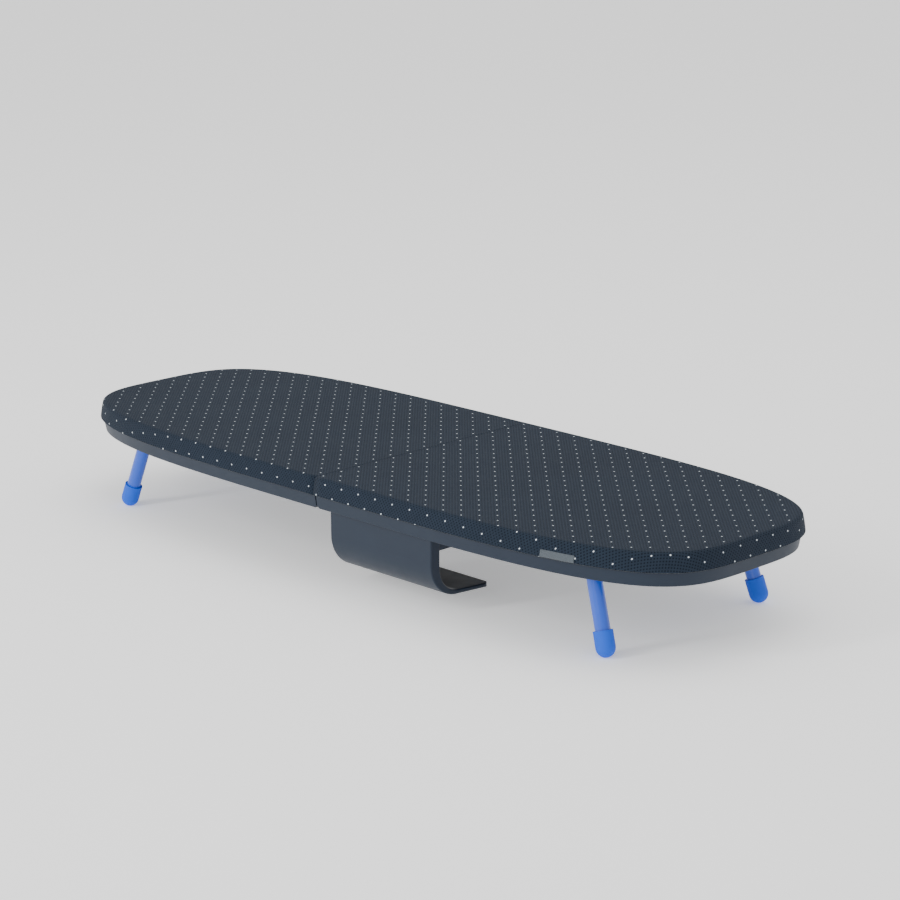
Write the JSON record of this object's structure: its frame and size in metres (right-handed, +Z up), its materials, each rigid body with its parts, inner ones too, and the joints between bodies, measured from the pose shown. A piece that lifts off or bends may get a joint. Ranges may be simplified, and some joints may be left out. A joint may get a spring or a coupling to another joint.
{
  "type": "folding table-top ironing board",
  "caption": "Low folding ironing board with a padded cover, two tray halves, folding splayed tube legs and a wide hanging hook.",
  "frame": {"origin": "on the table, under the centre of the opened board", "axes": "+X along the board's length towards the half with the hook, +Y to the back, +Z up"},
  "size_m": [0.8242, 0.294, 0.104],
  "materials": {
    "cover_fabric": "woven, slate with small white dots",
    "label_fabric": "woven tape",
    "webbing": "woven webbing",
    "pad_foam": "felt and foam",
    "tray_plastic": "satin moulded",
    "hook_plastic": "satin moulded",
    "fitting_plastic": "matte",
    "bolt_plastic": "matte",
    "leg_paint": "semi-gloss powder coat",
    "foot_rubber": "matte",
    "screw_steel": "zinc plated"
  },
  "bodies": {
    "right_half": {"tray_right": "tray_plastic", "pad_right": "pad_foam", "cover_right": "cover_fabric", "hinge_strip_right": "webbing", "leg_saddle_right_front": "fitting_plastic", "leg_saddle_right_back": "fitting_plastic", "saddle_screws_right": "screw_steel", "hook": "hook_plastic", "hook_screws": "screw_steel", "lock_housing": "fitting_plastic", "lock_screws": "screw_steel", "label": "label_fabric"},
    "left_half": {"tray_left": "tray_plastic", "pad_left": "pad_foam", "cover_left": "cover_fabric", "hinge_strip_left": "webbing", "leg_saddle_left_front": "fitting_plastic", "leg_saddle_left_back": "fitting_plastic", "saddle_screws_left": "screw_steel", "lock_keeper": "fitting_plastic", "keeper_screws": "screw_steel"},
    "right_leg": {"leg_tube_right": "leg_paint", "foot_right_front": "foot_rubber", "foot_right_back": "foot_rubber"},
    "left_leg": {"leg_tube_left": "leg_paint", "foot_left_front": "foot_rubber", "foot_left_back": "foot_rubber"},
    "lock_bolt": {"lock_bolt": "bolt_plastic"}
  },
  "joints": [
    {"name": "board_fold", "type": "hinge", "parent": "right_half", "child": "left_half", "pos_m": [0, 0, 0.1043], "axis": [0, 1, 0], "range_deg": [0, 180]},
    {"name": "right_leg_fold", "type": "hinge", "parent": "right_half", "child": "right_leg", "pos_m": [0.3068, 0, 0.0805], "axis": [0, 1, 0], "range_deg": [0, 106]},
    {"name": "left_leg_fold", "type": "hinge", "parent": "left_half", "child": "left_leg", "pos_m": [-0.3068, 0, 0.0805], "axis": [0, -1, 0], "range_deg": [0, 106]},
    {"name": "lock_slide", "type": "slide", "parent": "right_half", "child": "lock_bolt", "axis": [-1, 0, 0], "range_m": [0, 0.012]}
  ]
}
